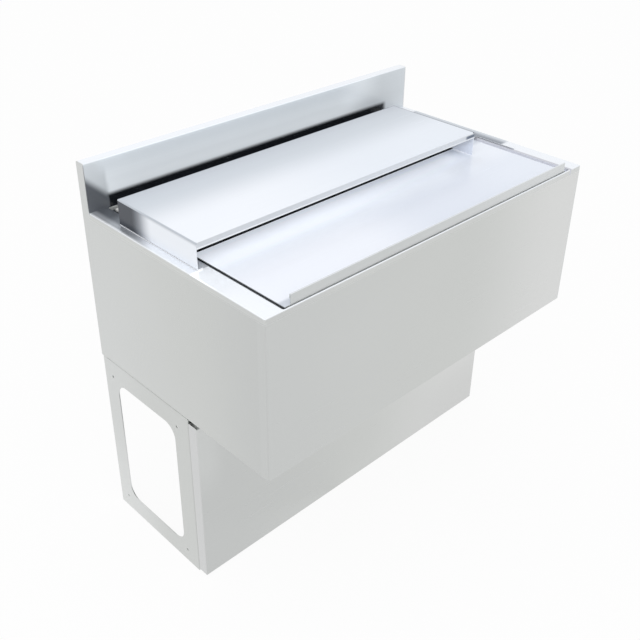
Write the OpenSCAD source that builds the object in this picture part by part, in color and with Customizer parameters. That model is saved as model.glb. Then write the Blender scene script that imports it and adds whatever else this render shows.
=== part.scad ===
// Underbar ice bin: an insulated ice well on an open sheet-metal base, with a
// sliding front lid that runs back under a raised rear cover.
// Origin: on the floor, at the centre of the footprint. Front is -Y, up is +Z.

/* [Body] */
// Width of the whole bin
body_w = 914; // [762:1:1219]
// Depth of the whole bin, front panel to back panel
body_d = 540; // [520:1:600]
// Height of the deck above the floor
deck_h = 762; // [740:1:900]
// Height of the insulated body under the deck
body_h = 342; // [320:1:420]
// Height of the backsplash above the deck
splash_h = 102; // [60:1:200]
// Thickness of the backsplash, front to back
splash_t = 24; // [20:1:40]

/* [Sheet metal] */
// Thickness of the body's panels
sheet_t = 1.2; // [1:0.1:1.5]
// Thickness of the lid and the rear cover
lid_t = 1.5; // [1.2:0.1:2]
// Thickness of the two side frames
frame_t = 2; // [1.5:0.1:3]
// Inner radius of the bends
bend_r = 1.5; // [1:0.1:2]
// Width of the panels' turned-in edges
return_w = 20; // [18:1:30]
// Height of the deck's turned-down edges
deck_leg = 12; // [8:0.5:12]

/* [Deck opening] */
// Width of the deck at each side of the opening
strip_w = 41; // [38:1:60]
// Depth of the step that the lid sits down into
rebate_h = 8; // [7:0.5:12]
// Width of the ledge at each side of the well's mouth
ledge_w = 26; // [24:1:34]

/* [Ice well] */
// Depth of the well below the deck
well_depth = 286; // [200:1:290]
// Width of the front wall, panel to liner
front_wall = 40; // [35:1:60]
// Corner radius of the well
well_r = 18; // [12:1:40]
// Radius between the well's walls and floor
cove_r = 8; // [5:1:11]
// Height of the false bottom above the floor of the well
false_bottom_h = 25; // [20:1:60]
// Diameter of the holes in the false bottom
perf_d = 11; // [8:0.5:14]
// Distance between the holes in the false bottom
perf_pitch = 48; // [30:1:60]

/* [Front lid] */
// Front-to-back size of the lid's plate
lid_d = 245; // [200:1:248]
// Gap between the lid's plate and the deck at each side
lid_gap = 8.5; // [6:0.5:12]
// Height of the upturned handle above the deck
handle_h = 21; // [15:1:35]
// How far the handle stops short of the plate's ends
handle_inset = 10; // [5:1:30]
// Height of the plate's turned-down sides
lid_leg = 5.5; // [4:0.5:6]

/* [Rear cover] */
// Width of the raised part
cover_w = 765.5; // [600:0.5:860]
// Front-to-back size of the raised part
cover_d = 238; // [200:1:245]
// Height of the raised part above the deck
cover_h = 55; // [45:1:80]
// Height of the band across the raised part's front
cover_band = 14; // [10:1:22]
// Distance from the front of the deck to the raised part
cover_y = 195; // [150:1:200]
// Distance from the left side of the deck to the raised part
cover_edge = 16.5; // [10:0.5:30]
// Front-to-back size of the flat flange behind the raised part
cover_flange = 34; // [20:1:40]
// Distance from the right side of the deck to the cover's flat wing
wing_edge = 7; // [4:1:15]
// Width of the wing's arm along the right side of the deck
wing_w = 27; // [20:1:30]
// How far that arm reaches ahead of the raised part
wing_reach = 43; // [10:1:60]

/* [Base] */
// Distance from the body's front to the base's front
base_recess = 212; // [150:1:230]
// Depth of the skirt, front face to back edge
skirt_d = 26.5; // [20:0.5:32]
// Width of the side frames' turned-in flanges
flange_w = 18; // [15:1:25]
// Width of the opening in each side frame
window_w = 203; // [150:1:210]
// Height of the opening in each side frame
window_h = 320; // [200:1:330]
// Corner radius of that opening
window_r = 32; // [15:1:60]
// Front-to-back distance between the side frame's tie holes
tie_y = 228; // [200:1:240]
// Vertical distance between the side frame's tie holes
tie_z = 343; // [330:1:350]
// Diameter of the tie holes
tie_d = 6; // [5:0.5:8]

/* [Drain] */
// Outside diameter of the drain's tailpiece
tail_d = 33.4; // [26.7:0.1:42.2]
// Free length of the tailpiece
tail_len = 70; // [40:1:120]

/* [Hidden] */
$fn = 48;

// Colours
steel_side = [0.79, 0.80, 0.79];
steel_top = [0.92, 0.94, 0.97];
steel_bright = [0.82, 0.83, 0.85];
steel_fixing = [0.70, 0.71, 0.72];
foam_yellow = [0.93, 0.88, 0.62];
rubber_black = [0.09, 0.09, 0.10];
nylon_white = [0.93, 0.93, 0.91];
brass_gold = [0.80, 0.67, 0.36];

// Outer box of the body
half_w = body_w / 2;
y_front = -body_d / 2;
y_back = body_d / 2;
z_deck = deck_h;
z_body = deck_h - body_h;
z_top = deck_h + splash_h;
y_splash = y_back - splash_t;
inner_w = body_w - 2 * sheet_t;
bend_out = bend_r + sheet_t;
bend_clear = bend_r + 0.3;
z_pan = z_body + sheet_t;
z_bar = z_pan + sheet_t;
cut = 1;

// Opening in the deck, its ledge, and the mouth of the well
open_half_w = half_w - strip_w;
open_y0 = y_front + 2 * sheet_t;
rear_strip = 3;
open_y1 = y_splash - rear_strip;
open_r = 4;
z_ledge = z_deck - rebate_h;
rear_ledge = 7;
mouth_half_w = open_half_w - ledge_w;
mouth_y0 = y_front + front_wall;
mouth_y1 = open_y1 - rear_ledge;
mouth_w = 2 * mouth_half_w;
mouth_d = mouth_y1 - mouth_y0;
mouth_cy = (mouth_y0 + mouth_y1) / 2;

// Ice well
gasket_t = 2;
z_gasket = z_ledge - sheet_t - gasket_t;
z_well = z_deck - well_depth;
liner_flange = 10;
z_false = z_well + false_bottom_h;
false_gap = cove_r + 0.5;
perf_margin = 30;
foot_h = 14;
foot_w = 40;

// Lid
lid_drop = 1;
z_lid = z_deck - lid_drop;
lid_half_w = open_half_w - lid_gap;
lip_gap = 2;
lid_y0 = open_y0 + lip_gap + lid_t;
hem_r = 0.1;
hem_h = 9;
handle_flange = 18;
glide_gap = 0.3;
glide_r = 5;
rail_h = 3.5;
rail_w = 9.5;
rail_inset = 4;
z_rail = z_ledge + rail_h;
rail_x0 = mouth_half_w + rail_inset;
rail_y0 = open_y0 + 6;
rail_y1 = open_y1 - 5;
hat_w = 32;
hat_flange = 9;
hat_h = 8;
hat_end = 10;
hat_setback = 8;

// Rear cover
pad_t = 1;
pad_gap = 0.3;
pad_w = 12;
z_cover = z_deck + pad_t;
z_cover_top = z_deck + cover_h;
cover_x0 = -half_w + cover_edge;
cover_x1 = cover_x0 + cover_w;
cover_x2 = half_w - wing_edge;
cover_y0 = y_front + cover_y;
cover_y1 = cover_y0 + cover_d;
cover_y2 = cover_y1 + cover_flange;
cover_bend = bend_r + lid_t;
flange_inset = 2;
flange_x0 = -open_half_w + flange_inset;
wing_gap = 5;
wing_y0 = lid_y0 + lid_d + wing_gap;
arm_x0 = cover_x2 - wing_w;
arm_y0 = cover_y0 - wing_reach;
channel_w = 30;
channel_h = 11.5;
channel_end = 30;

// Base
shim_t = 1.5;
shim_r = 8;
z_frame = z_body - shim_t;
y_skirt = y_front + base_recess;
skirt_gap = 0.6;
y_frame = y_skirt + skirt_d + skirt_gap;
back_gap = 2.5;
frame_y1 = y_back - back_gap;
skirt_z0 = 7.5;
skirt_drop = 9;
skirt_z1 = z_frame - skirt_drop;
window_rise = 1.5;
window_cy = (y_frame + frame_y1) / 2;
window_cz = z_frame / 2 + window_rise;
tie_shift = 3;
tie_cy = window_cy + tie_shift;
tie_cz = window_cz - tie_shift;
fixing_inset = 10;
fixing_x = half_w - fixing_inset;
bolt_r = 4;
bolt_head_r = 7.5;
bolt_head_h = 5.3;
bolt_tip = 3;
bolt_end = 40;
bolt_step = 70;
bolt_ys = [y_frame + bolt_end, y_frame + bolt_end + bolt_step,
           frame_y1 - bolt_end - bolt_step, frame_y1 - bolt_end];
bar_t = 4;
bar_w = 17;
bar_end = 10;
tie_rail_h = 40;
tie_rail_w = 20;
tie_rail_gap = 1;
tie_rail_x = half_w - frame_t - bend_r;
tie_rail_y1 = frame_y1 - frame_t;
z_tie_rail = z_frame - frame_t - tie_rail_gap;
tie_bolt_zs = [z_tie_rail - tie_rail_h + tie_rail_w / 2, z_tie_rail - tie_rail_w / 2];
tie_bolt_r = 3;
screw_inset = 50;
screw_zs = [skirt_z0 + screw_inset, (skirt_z0 + skirt_z1) / 2, skirt_z1 - screw_inset];
screw_r = 2;
head_t = 2;
thread_out = 4;

// Drain
drain_cy = mouth_cy;
drain_r = 22;
drain_gap = 0.2;
drain_bore_r = 14;
drain_flange_r = 40;
drain_flange_t = 2;
drain_below = 22;
z_drain_end = z_body - drain_below;
locknut_h = 9;
locknut_r = 32;
drain_gasket_t = 2;
drain_gasket_r = 34;
tail_r = tail_d / 2;
tail_wall = 3.4;
spigot_r = tail_r - 1.2;
spigot_len = 16;
neck_h = 1;
strainer_r = 24;
strainer_t = 1.5;
knob_r = 6;
knob_h = 4;
slot_r = 2.2;
slot_ring = 10.5;

// Number of flats that stand for a quarter turn in a bend
bend_n = 5;

// Points of an arc about c, from angle a0 to angle a1
function arc(c, r, a0, a1) = [for (k = [0:bend_n])
    let (a = a0 + (a1 - a0) * k / bend_n) c + r * [cos(a), sin(a)]];

// Outline of a rectangle with round corners
function round_outline(a, b, r) = concat(
    arc([b[0] - r, b[1] - r], r, 0, 90),
    arc([a[0] + r, b[1] - r], r, 90, 180),
    arc([a[0] + r, a[1] + r], r, 180, 270),
    arc([b[0] - r, a[1] + r], r, 270, 360));

function unit(v) = v / norm(v);
function left_of(v) = [-v[1], v[0]];
function turned(v, a) = [v[0] * cos(a) - v[1] * sin(a), v[0] * sin(a) + v[1] * cos(a)];
function backwards(v) = [for (i = [len(v) - 1:-1:0]) v[i]];

// Bend i of a sheet's face path p, measured at depth o into the sheet on the path's left
function bend(p, i, t, r, o) =
    let (a = unit(p[i] - p[i - 1]),
         b = unit(p[i + 1] - p[i]),
         s = sign(cross(a, b)),
         angle = acos(a * b),
         face_r = s > 0 ? r + t : r,
         c = p[i] - a * face_r * tan(angle / 2) + s * face_r * left_of(a))
    [for (k = [0:bend_n]) c - (s * face_r - o) * turned(left_of(a), s * angle * k / bend_n)];

// One face of the bent sheet: the path itself at o = 0, the other face at o = t
function sheet_face(p, t, r, o) =
    let (n = len(p) - 1)
    concat([p[0] + o * left_of(unit(p[1] - p[0]))],
           [for (i = [1:n - 1]) each bend(p, i, t, is_list(r) ? r[i] : r, o)],
           [p[n] + o * left_of(unit(p[n] - p[n - 1]))]);

// Section of a bent sheet of thickness t, laid to the left of the path
module bent_sheet(path, t, r = bend_r) {
    polygon(concat(sheet_face(path, t, r, 0), backwards(sheet_face(path, t, r, t))));
}

// A (y, z) section pushed out along X
module along_x(x0, x1) {
    translate([x0, 0, 0]) rotate([90, 0, 90]) linear_extrude(x1 - x0) children();
}

// An (x, z) section pushed out along Y
module along_y(y0, y1) {
    translate([0, y1, 0]) rotate([90, 0, 0]) linear_extrude(y1 - y0) children();
}

// An (x, y) outline pushed out along Z
module along_z(z0, z1) {
    translate([0, 0, z0]) linear_extrude(z1 - z0) children();
}

// A box given by two opposite corners
module span(a, b) {
    translate(a) cube(b - a);
}

// The same box with all its edges rounded
module soft_block(a, b, r) {
    intersection() {
        along_x(a[0], b[0]) polygon(round_outline([a[1], a[2]], [b[1], b[2]], r));
        along_y(a[1], b[1]) polygon(round_outline([a[0], a[2]], [b[0], b[2]], r));
        along_z(a[2], b[2]) polygon(round_outline([a[0], a[1]], [b[0], b[1]], r));
    }
}

// Closed box folded from sheet of thickness t, its corners welded and ground
module folded_box(a, b, t) {
    difference() {
        soft_block(a, b, bend_r + t);
        soft_block(a + [t, t, t], b - [t, t, t], bend_r);
    }
}

// A flat outline with four true arcs at its corners, centred
module round_rect(w, d, r) {
    square([w - 2 * r, d], center = true);
    square([w, d - 2 * r], center = true);
    for (sx = [-1, 1], sy = [-1, 1])
        translate([sx * (w / 2 - r), sy * (d / 2 - r)]) circle(r);
}

// A vertical ring between two radii
module ring(r_out, r_in, z0, z1) {
    difference() {
        translate([0, 0, z0]) cylinder(h = z1 - z0, r = r_out);
        translate([0, 0, z0 - cut]) cylinder(h = z1 - z0 + 2 * cut, r = r_in);
    }
}

// The same piece on the left and the right
module both_sides() {
    children();
    mirror([1, 0, 0]) children();
}

// Insulated body

// Front apron: it turns back round the corners and under the body
module front_panel() {
    color(steel_side)
    intersection() {
        folded_box([-half_w, y_front, z_body], [half_w, y_back, z_top], sheet_t);
        span([-half_w, y_front, z_body], [half_w, y_front + return_w, z_deck - deck_leg]);
    }
}

// One side of the body, turned in at the bottom, with the end of the backsplash on it
module side_panel() {
    y0 = y_front + return_w;
    y1 = y_back - return_w;
    color(steel_side)
    difference() {
        union() {
            along_y(y0, y1)
                bent_sheet([[half_w - return_w, z_body], [half_w, z_body],
                            [half_w, z_body + 2 * bend_out]], sheet_t);
            along_x(half_w - sheet_t, half_w)
                polygon(concat([[y0, z_body + bend_out], [y1, z_body + bend_out], [y1, z_body],
                                [y_back, z_body]],
                               arc([y_back - bend_out, z_top - bend_out], bend_out, 0, 90),
                               arc([y_splash + bend_out, z_top - bend_out], bend_out, 90, 180),
                               [[y_splash, z_deck - deck_leg], [y0, z_deck - deck_leg]]));
        }
        frame_bolt_holes(z_body);
    }
}

module left_side_panel() {
    mirror([1, 0, 0]) side_panel();
}

module right_side_panel() {
    side_panel();
}

// Back sheet, turned in at the bottom, up to the turned-down back of the backsplash
module back_panel() {
    color(steel_side)
    along_x(-inner_w / 2, inner_w / 2)
        bent_sheet([[y_back - return_w, z_body], [y_back, z_body], [y_back, z_top - return_w]],
                   sheet_t);
}

// Underside of the body, laid on the turned-in edges, with the drain's hole
module bottom_pan() {
    color(steel_side)
    difference() {
        span([-inner_w / 2 + bend_clear, y_front + sheet_t + bend_clear, z_pan],
             [inner_w / 2 - bend_clear, y_back - sheet_t - bend_clear, z_bar]);
        translate([0, drain_cy, z_pan - cut]) cylinder(h = sheet_t + 2 * cut, r = drain_r + cut);
        frame_bolt_holes(z_pan);
    }
}

// Clearance for the frame bolts, through the sheets near height z
module frame_bolt_holes(z) {
    for (sx = [-1, 1], y = bolt_ys)
        translate([sx * fixing_x, y, z - 2 * frame_t]) cylinder(h = 4 * frame_t, r = bolt_r + 0.3);
}

// Tapped bars on top of the pan that the frame bolts screw into
module pan_stiffeners() {
    x1 = inner_w / 2 - bend_clear;
    color(steel_fixing)
    both_sides()
    difference() {
        span([x1 - bar_w, y_frame + bar_end, z_bar], [x1, frame_y1 - bar_end, z_bar + bar_t]);
        for (y = bolt_ys)
            translate([fixing_x, y, z_bar - cut]) cylinder(h = bar_t + 2 * cut, r = bolt_r);
    }
}

// Deck with turned-down edges, and the step and ledge that carry the lid
module deck_frame() {
    color(steel_top) {
        difference() {
            intersection() {
                folded_box([-half_w, y_front, z_body], [half_w, y_back, z_deck], sheet_t);
                span([-half_w, y_front, z_deck - deck_leg], [half_w, y_splash, z_deck]);
            }
            deck_opening(z_deck - rebate_h, z_deck + cut, 0);
        }
        difference() {
            deck_opening(z_ledge, z_deck - sheet_t / 2, sheet_t);
            deck_opening(z_ledge - cut, z_deck + cut, 0);
        }
        difference() {
            deck_opening(z_ledge - sheet_t, z_ledge, sheet_t);
            well_space(z_ledge - 2 * sheet_t, z_ledge + cut, 0);
        }
    }
}

// Space of the opening in the deck, grown outward by g
module deck_opening(z0, z1, g) {
    along_z(z0, z1)
        translate([0, (open_y0 + open_y1) / 2])
            round_rect(2 * open_half_w + 2 * g, open_y1 - open_y0 + 2 * g, open_r + g);
}

// Space of the well's mouth, grown outward by g
module well_space(z0, z1, g) {
    along_z(z0, z1)
        translate([0, mouth_cy]) round_rect(mouth_w + 2 * g, mouth_d + 2 * g, well_r + g);
}

// Form of the well with its round floor edge, grown outward by g
module well_form(z1, g) {
    r = well_r + g;
    cove = cove_r + g;
    hull()
    for (sx = [-1, 1], sy = [-1, 1])
        translate([sx * (mouth_half_w - well_r), mouth_cy + sy * (mouth_d / 2 - well_r), 0])
            rotate_extrude()
                polygon(concat([[0, z1], [0, z_well - g]],
                               arc([r - cove, z_well - g + cove], cove, -90, 0),
                               [[r, z1]]));
}

// Bent sheet upstand at the back, folded over the top and down behind
module backsplash() {
    color(steel_side)
    along_x(-inner_w / 2, inner_w / 2)
        bent_sheet([[y_back, z_top - return_w], [y_back, z_top], [y_splash, z_top],
                    [y_splash, z_deck - sheet_t]], sheet_t);
}

// Thermal break between the liner's flange and the ledge
module mouth_gasket() {
    color(rubber_black)
    difference() {
        well_space(z_gasket, z_gasket + gasket_t, liner_flange);
        well_space(z_gasket - cut, z_gasket + gasket_t + cut, 0);
    }
}

// Seamless tub that holds the ice
module well_liner() {
    color(steel_bright)
    difference() {
        union() {
            well_form(z_gasket, sheet_t);
            well_space(z_gasket - sheet_t, z_gasket, liner_flange);
        }
        well_form(z_gasket + cut, 0);
        translate([0, drain_cy, z_well - 2 * sheet_t]) cylinder(h = 4 * sheet_t, r = drain_r);
    }
}

// Foam between the liner and the panels
module foam_insulation() {
    color(foam_yellow)
    difference() {
        span([-inner_w / 2, y_front + sheet_t, z_bar],
             [inner_w / 2, y_back - sheet_t, z_gasket - sheet_t]);
        front_panel();
        side_panel();
        mirror([1, 0, 0]) side_panel();
        back_panel();
        both_sides() span([inner_w / 2 - bend_clear - bar_w, y_frame + bar_end, z_bar - cut],
                          [inner_w / 2 - bend_clear, frame_y1 - bar_end, z_bar + bar_t]);
        well_form(z_deck, sheet_t);
        translate([0, drain_cy, z_body]) cylinder(h = z_well - z_body, r = drain_r);
        for (sx = [-1, 1], y = bolt_ys)
            translate([sx * fixing_x, y, z_bar]) cylinder(h = bar_t + bolt_tip, r = bolt_r);
    }
}

// Perforated tray that keeps the ice out of its melt water
module false_bottom() {
    x = mouth_half_w - false_gap;
    d = mouth_d / 2 - false_gap;
    nx = floor((x - perf_margin) / perf_pitch);
    ny = floor((d - perf_margin) / perf_pitch);
    color(steel_bright)
    difference() {
        intersection() {
            folded_box([-x, mouth_cy - d, z_well - false_bottom_h], [x, mouth_cy + d, z_false],
                       lid_t);
            span([-x, mouth_cy - d, z_well], [x, mouth_cy + d, z_false]);
        }
        along_x(-x - cut, x + cut)
            translate([mouth_cy - d + foot_w, z_well - cut])
                square([2 * d - 2 * foot_w, foot_h + cut]);
        along_y(mouth_cy - d - cut, mouth_cy + d + cut)
            translate([-x + foot_w, z_well - cut]) square([2 * x - 2 * foot_w, foot_h + cut]);
        for (ix = [-nx:nx], iy = [-ny:ny])
            translate([ix * perf_pitch, mouth_cy + iy * perf_pitch, z_false - 2 * lid_t])
                cylinder(h = 3 * lid_t, r = perf_d / 2);
    }
}

// Drain

// Flanged body that runs from the well's floor down through the pan
module drain_body() {
    color(brass_gold)
    translate([0, drain_cy, 0])
    difference() {
        union() {
            translate([0, 0, z_drain_end])
                cylinder(h = z_well - z_drain_end, r = drain_r - drain_gap);
            translate([0, 0, z_well]) cylinder(h = drain_flange_t, r = drain_flange_r);
        }
        translate([0, 0, z_drain_end - cut])
            cylinder(h = z_well + drain_flange_t - z_drain_end + 2 * cut, r = drain_bore_r);
        translate([0, 0, z_drain_end - cut]) cylinder(h = spigot_len + cut, r = spigot_r);
    }
}

// Washer between the body's turned-in sheets and the locknut
module drain_gasket() {
    color(rubber_black)
    translate([0, drain_cy, 0])
        ring(drain_gasket_r, drain_r - drain_gap, z_pan - drain_gasket_t, z_pan);
}

// Hexagon nut that clamps the drain body
module drain_locknut() {
    color(brass_gold)
    translate([0, drain_cy, z_pan - drain_gasket_t - locknut_h])
    difference() {
        cylinder(h = locknut_h, r = locknut_r, $fn = 6);
        translate([0, 0, -cut]) cylinder(h = locknut_h + 2 * cut, r = drain_r - drain_gap);
    }
}

// Drilled disc with a knob, in the drain's mouth
module drain_strainer() {
    color(steel_bright)
    translate([0, drain_cy, z_well + drain_flange_t])
    difference() {
        union() {
            cylinder(h = strainer_t, r = strainer_r);
            translate([0, 0, strainer_t]) cylinder(h = knob_h, r = knob_r);
        }
        for (a = [0:45:315])
            rotate([0, 0, a]) translate([slot_ring, 0, -cut])
                cylinder(h = strainer_t + 2 * cut, r = slot_r);
    }
}

// Pipe that a hose is pushed onto, with a spigot up into the drain body
module drain_tailpiece() {
    z1 = z_drain_end - neck_h;
    color(brass_gold)
    translate([0, drain_cy, 0])
    rotate_extrude()
        polygon([[tail_r - tail_wall, z1 - tail_len], [tail_r, z1 - tail_len], [tail_r, z1],
                 [spigot_r, z1], [spigot_r, z_drain_end + spigot_len],
                 [tail_r - tail_wall, z_drain_end + spigot_len]]);
}

// Front lid

// Plastic strip on the ledge that the lid runs on
module lid_rail() {
    color(nylon_white)
    span([rail_x0, rail_y0, z_ledge], [rail_x0 + rail_w, rail_y1, z_rail]);
}

module left_lid_rail() {
    mirror([1, 0, 0]) lid_rail();
}

module right_lid_rail() {
    lid_rail();
}

// Plate level with the deck, its two sides turned down
module lid_plate() {
    color(steel_top)
    along_y(lid_y0 + bend_r, lid_y0 + lid_d)
        bent_sheet([[lid_half_w, z_lid - lid_leg], [lid_half_w, z_lid], [-lid_half_w, z_lid],
                    [-lid_half_w, z_lid - lid_leg]], lid_t);
}

// Welded angle with a hemmed upper edge: the lid is pushed and pulled by it
module lid_handle() {
    x = lid_half_w - handle_inset;
    y0 = lid_y0 - lid_t;
    y1 = y0 + 2 * (lid_t + hem_r) + 0.1;
    z0 = z_lid - 2 * lid_t;
    z1 = z_deck + handle_h;
    color(steel_top)
    along_x(-x, x)
        bent_sheet([[y1, z1 - hem_h], [y1, z1], [y0, z1], [y0, z0], [y0 + handle_flange, z0]],
                   lid_t, [0, hem_r, hem_r, bend_r]);
}

// Hat-shaped channel that keeps the plate flat
module lid_stiffener() {
    x = mouth_half_w - hat_end;
    y1 = lid_y0 + lid_d - hat_setback;
    z1 = z_lid - lid_t;
    z0 = z1 - hat_h + lid_t;
    color(steel_bright)
    along_x(-x, x)
        bent_sheet([[y1, z1], [y1 - hat_flange, z1], [y1 - hat_flange, z0],
                    [y1 - hat_w + hat_flange, z0], [y1 - hat_w + hat_flange, z1],
                    [y1 - hat_w, z1]], lid_t);
}

// Four buttons under the plate that slide on the rails
module lid_glides() {
    z0 = z_rail + glide_gap;
    color(nylon_white)
    for (sx = [-1, 1], y = [lid_y0 + handle_flange + 2 * glide_r, lid_y0 + lid_d - 2 * glide_r])
        translate([sx * (rail_x0 + rail_w / 2), y, z0])
            cylinder(h = z_lid - lid_t - z0, r = glide_r - 0.5);
}

// Rear cover

// Raised box, open under its front band, with a flat flange at the right and the back
module cover_hood() {
    t = lid_t;
    x0 = cover_x0;
    x1 = cover_x1;
    y1 = cover_y1;
    z0 = z_cover;
    wall_z = z0 + 2 * cover_bend;
    color(steel_top) {
        difference() {
            cover_shell();
            span([x0 + t, cover_y0 - cut, z0 - cut],
                 [x1 - t, cover_y0 + cover_bend, z_cover_top - cover_band]);
            span([flange_x0, y1 - cover_bend, z0 - cut], [x1 + cut, y1 + cut, wall_z]);
            span([x1 - cover_bend, wing_y0, z0 - cut], [x1 + cut, y1 + cut, wall_z]);
            span([x0 - cut, cover_y0 - cut, z0 - cut], [x0 + cover_bend, y1 + cut, wall_z]);
        }
        along_x(flange_x0, x1)
            bent_sheet([[y1 - t, wall_z], [y1 - t, z0], [y1 + 2 * cover_bend, z0]], t);
        along_y(wing_y0, y1)
            bent_sheet([[x1 - t, wall_z], [x1 - t, z0], [x1 + 2 * cover_bend, z0]], t);
        along_y(cover_y0, y1)
            bent_sheet([[x0, wall_z], [x0, z0], [x0 + pad_w, z0]], t);
        along_z(z0, z0 + t) {
            translate([flange_x0, y1 + bend_r]) square([cover_x2 - flange_x0, cover_flange - bend_r]);
            translate([x1 + bend_r, wing_y0]) square([cover_x2 - x1 - bend_r, y1 - wing_y0 + 2 * bend_r]);
            polygon([[arm_x0, arm_y0], [cover_x2, arm_y0 + wing_w], [cover_x2, y1], [arm_x0, y1]]);
        }
    }
}

// Top and upright walls of the raised part, round along the top and square down the corners
module cover_shell() {
    a = [cover_x0, cover_y0, z_cover];
    b = [cover_x1, cover_y1, z_cover_top];
    difference() {
        round_top(a, b, cover_bend);
        round_top(a + [lid_t, lid_t, -cut], b - [lid_t, lid_t, lid_t], bend_r);
    }
}

// A box rounded along its four upper edges
module round_top(a, b, r) {
    intersection() {
        along_x(a[0], b[0]) polygon(top_outline([a[1], a[2]], [b[1], b[2]], r));
        along_y(a[1], b[1]) polygon(top_outline([a[0], a[2]], [b[0], b[2]], r));
    }
}

// Outline of a rectangle with its two upper corners round
function top_outline(a, b, r) = concat(
    arc([b[0] - r, b[1] - r], r, 0, 90),
    arc([a[0] + r, b[1] - r], r, 90, 180),
    [a, [b[0], a[1]]]);

// Channel under the raised top
module cover_stiffener() {
    yc = (cover_y0 + cover_y1) / 2;
    z1 = z_cover_top - lid_t;
    z0 = z1 - channel_h;
    color(steel_bright)
    along_x(cover_x0 + channel_end, cover_x1 - channel_end)
        bent_sheet([[yc - channel_w / 2, z1], [yc - channel_w / 2, z0], [yc + channel_w / 2, z0],
                    [yc + channel_w / 2, z1]], lid_t);
}

// Thin strips that the cover stands on
module cover_pads() {
    color(nylon_white) {
        span([cover_x0, cover_y0, z_deck + pad_gap], [cover_x0 + pad_w, cover_y1, z_cover]);
        span([cover_x2 - pad_w, arm_y0 + wing_w, z_deck + pad_gap], [cover_x2, cover_y2, z_cover]);
    }
}

// Base

// Side sheet with a round-cornered window and four turned-in edges
module side_frame() {
    x0 = half_w - flange_w;
    bore = flange_w + 2 * cut;
    color(steel_side)
    difference() {
        intersection() {
            folded_box([x0 - flange_w, y_frame, 0], [half_w, frame_y1, z_frame], frame_t);
            span([x0, y_frame, 0], [half_w, frame_y1, z_frame]);
        }
        along_x(half_w - frame_t - cut, half_w + cut)
            translate([window_cy, window_cz]) round_rect(window_w, window_h, window_r);
        for (sy = [-1, 1], sz = [-1, 1])
            translate([x0, tie_cy + sy * tie_y / 2, tie_cz + sz * tie_z / 2])
                rotate([0, 90, 0]) cylinder(h = bore, r = tie_d / 2);
        frame_bolt_holes(z_frame);
        for (z = screw_zs)
            translate([fixing_x, y_frame - cut, z]) rotate([-90, 0, 0])
                cylinder(h = frame_t + 2 * cut, r = screw_r + 0.2);
        for (z = tie_bolt_zs)
            translate([fixing_x, frame_y1 - frame_t - cut, z]) rotate([-90, 0, 0])
                cylinder(h = frame_t + 2 * cut, r = tie_bolt_r + 0.2);
    }
}

module left_side_frame() {
    mirror([1, 0, 0]) side_frame();
}

module right_side_frame() {
    side_frame();
}

// Shallow tray across the front of the base, turned in at the back of both ends
module front_skirt() {
    y1 = y_skirt + skirt_d;
    x = half_w - flange_w;
    color(steel_side)
    difference() {
        folded_box([-half_w, y_skirt, skirt_z0], [half_w, y1, skirt_z1], sheet_t);
        span([-x, y1 - bend_out, skirt_z0 - cut], [x, y1 + cut, skirt_z1 + cut]);
        for (sx = [-1, 1], z = screw_zs)
            translate([sx * fixing_x, y1 - sheet_t - cut, z]) rotate([-90, 0, 0])
                cylinder(h = sheet_t + 2 * cut, r = screw_r + 0.1);
    }
}

// Channel that ties the two frames together at the top of the back
module rear_tie_rail() {
    y1 = tie_rail_y1;
    z0 = z_tie_rail - tie_rail_h;
    color(steel_side)
    difference() {
        along_x(-tie_rail_x, tie_rail_x)
            bent_sheet([[y1 - tie_rail_w, z0], [y1, z0], [y1, z_tie_rail],
                        [y1 - tie_rail_w, z_tie_rail]], frame_t);
        for (sx = [-1, 1], z = tie_bolt_zs)
            translate([sx * fixing_x, y1 - frame_t - cut, z]) rotate([-90, 0, 0])
                cylinder(h = frame_t + 2 * cut, r = tie_bolt_r + 0.2);
    }
}

// Washers between the frames and the body
module frame_shims() {
    color(rubber_black)
    for (sx = [-1, 1], y = bolt_ys)
        translate([sx * fixing_x, y, 0]) ring(shim_r, bolt_r + 0.3, z_frame, z_body);
}

// Hexagon bolts that hold the frames under the body
module frame_bolts() {
    z0 = z_frame - frame_t - bolt_head_h;
    color(steel_fixing)
    for (sx = [-1, 1], y = bolt_ys)
        translate([sx * fixing_x, y, z0]) {
            cylinder(h = bolt_head_h, r = bolt_head_r, $fn = 6);
            cylinder(h = z_bar + bar_t + bolt_tip - z0, r = bolt_r);
        }
}

// Screws that hold the skirt to the frames
module skirt_screws() {
    color(steel_fixing)
    for (sx = [-1, 1], z = screw_zs)
        translate([sx * fixing_x, y_frame + frame_t, z]) rotate([90, 0, 0]) {
            translate([0, 0, -head_t]) cylinder(h = head_t, r = 2 * screw_r);
            cylinder(h = frame_t + skirt_gap + sheet_t + thread_out, r = screw_r);
        }
}

// Bolts that hold the rear channel to the frames
module tie_bolts() {
    color(steel_fixing)
    for (sx = [-1, 1], z = tie_bolt_zs)
        translate([sx * fixing_x, frame_y1, z]) rotate([90, 0, 0]) {
            translate([0, 0, -head_t]) cylinder(h = head_t, r = 2 * tie_bolt_r);
            cylinder(h = 2 * frame_t + thread_out, r = tie_bolt_r);
        }
}

front_panel();
left_side_panel();
right_side_panel();
back_panel();
bottom_pan();
pan_stiffeners();
deck_frame();
backsplash();
mouth_gasket();
well_liner();
foam_insulation();
false_bottom();
drain_body();
drain_gasket();
drain_locknut();
drain_strainer();
drain_tailpiece();
left_lid_rail();
right_lid_rail();
lid_plate();
lid_handle();
lid_stiffener();
lid_glides();
cover_hood();
cover_stiffener();
cover_pads();
left_side_frame();
right_side_frame();
front_skirt();
rear_tie_rail();
frame_shims();
frame_bolts();
skirt_screws();
tie_bolts();
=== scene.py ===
"""Finishes, studio and camera of an underbar ice bin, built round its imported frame.

Lengths and places are in metres in the shared frame: X to the right, Y to the back and Z up.
"""

import logging
import math
from dataclasses import dataclass
from enum import Enum
from typing import Union

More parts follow.
